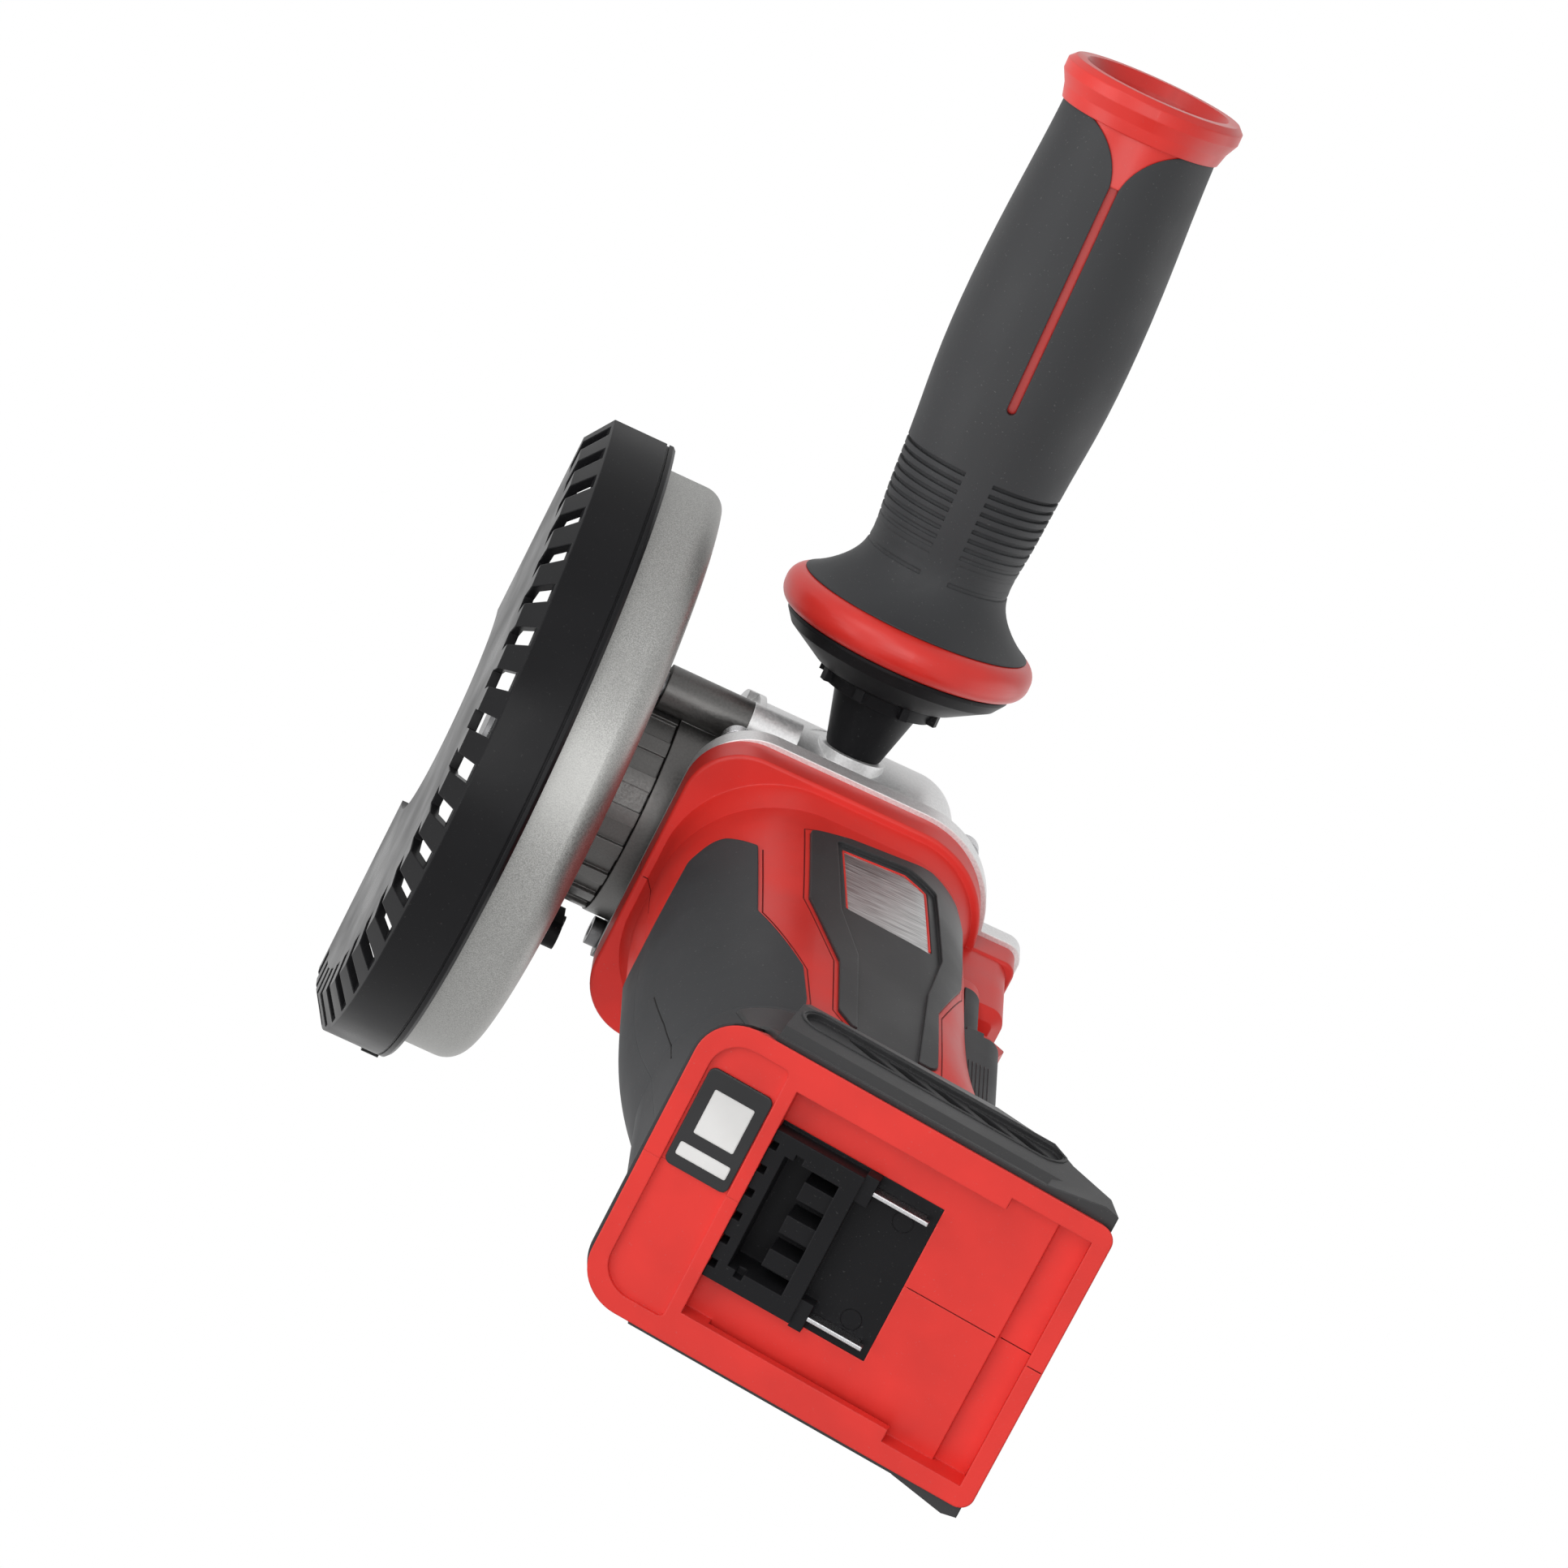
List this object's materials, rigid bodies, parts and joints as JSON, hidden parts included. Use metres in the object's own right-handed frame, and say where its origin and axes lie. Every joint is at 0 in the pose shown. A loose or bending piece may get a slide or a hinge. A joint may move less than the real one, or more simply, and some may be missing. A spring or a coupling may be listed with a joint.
{
  "type": "angle grinder",
  "caption": "Cordless angle grinder with a battery foot, side handle, wheel guard with a clip-on cutting cover, bevel gear head, slide switch and spindle lock.",
  "frame": {"origin": "on the spindle axis, at the face of the inner flange that the disc sits on", "axes": "+X from the battery foot to the gear head along the motor, +Y to the side that carries the handle, +Z from the disc seat up through the gear head"},
  "size_m": [0.2551, 0.2814, 0.1548],
  "materials": {
    "red_plastic": "moulded satin",
    "handle_red": "moulded satin",
    "black_rubber": "soft matte",
    "black_plastic": "moulded satin",
    "switch_red": "moulded satin",
    "cast_alloy": "as cast",
    "dark_cast": "dark coated cast",
    "plate_alloy": "brushed",
    "guard_steel": "silver powder coat",
    "zinc_steel": "zinc plated",
    "dark_steel": "oiled",
    "bearing_steel": "ground",
    "bronze": "sintered",
    "lamination": "stacked sheet",
    "magnet": "coated",
    "copper": "enamelled wire",
    "board": "lacquered board",
    "lead_sheath": "soft sheath"
  },
  "bodies": {
    "body": {"motor_housing_left": "red_plastic", "motor_housing_right": "red_plastic", "handle_core": "handle_red", "lower_grip_left": "black_rubber", "lower_grip_right": "black_rubber", "top_grip_left": "black_rubber", "top_grip_right": "black_rubber", "handle_grip": "black_rubber", "side_panel_left": "black_plastic", "side_panel_right": "black_plastic", "foot_band_left": "black_plastic", "foot_band_right": "black_plastic", "handle_neck": "black_plastic", "terminal_block": "black_plastic", "switch_module": "black_plastic", "fan_baffle": "black_plastic", "gear_housing": "cast_alloy", "bearing_cap": "dark_cast", "side_plate_left": "plate_alloy", "side_plate_right": "plate_alloy", "foot_plate": "plate_alloy", "housing_screws": "zinc_steel", "clamshell_screws": "zinc_steel", "handle_stud": "zinc_steel", "terminal_blades": "zinc_steel", "cap_screws": "dark_steel", "lock_spring": "dark_steel", "front_motor_bearing": "bearing_steel", "rear_motor_bearing": "bearing_steel", "lower_spindle_bearing": "bearing_steel", "upper_spindle_bush": "bronze", "stator_core": "lamination", "stator_windings": "copper", "control_board": "board", "power_leads": "lead_sheath"},
    "rotor": {"rotor_shaft": "dark_steel", "rotor_core": "lamination", "rotor_magnets": "magnet", "cooling_fan": "black_plastic", "pinion": "dark_steel"},
    "spindle": {"spindle": "dark_steel", "drive_gear": "dark_steel", "inner_flange": "zinc_steel", "lock_nut": "dark_steel", "gear_circlip": "dark_steel"},
    "guard": {"guard_pan": "guard_steel", "guard_collar": "dark_steel", "cutting_cover": "black_plastic"},
    "guard_lever": {"guard_lever": "black_plastic"},
    "switch": {"switch_slider": "switch_red", "switch_rod": "black_plastic"},
    "lock": {"lock_button": "black_plastic"}
  },
  "joints": [
    {"name": "spindle_spin", "type": "hinge", "parent": "body", "child": "spindle", "pos_m": [0, 0, 0], "axis": [0, 0, 1], "continuous": true},
    {"name": "rotor_spin", "type": "hinge", "parent": "body", "child": "rotor", "pos_m": [0, 0, 0.065], "axis": [1, 0, 0], "continuous": true},
    {"name": "guard_turn", "type": "hinge", "parent": "body", "child": "guard", "pos_m": [0, 0, 0], "axis": [0, 0, 1], "range_deg": [-100, 100]},
    {"name": "lever_pivot", "type": "hinge", "parent": "guard", "child": "guard_lever", "pos_m": [-0.009, -0.0334, 0.018], "axis": [0, 0, 1], "range_deg": [0, 25], "stiffness_Nm_per_rad": 0.2},
    {"name": "switch_slide", "type": "slide", "parent": "body", "child": "switch", "axis": [1, 0, 0], "range_m": [0, 0.006]},
    {"name": "lock_press", "type": "slide", "parent": "body", "child": "lock", "axis": [0, 0, -1], "range_m": [0, 0.005], "stiffness_N_per_m": 400, "deforming": ["lock_spring"]}
  ],
  "couplings": [
    {"joint": "rotor_spin", "follows": "spindle_spin", "ratio": -3}
  ]
}
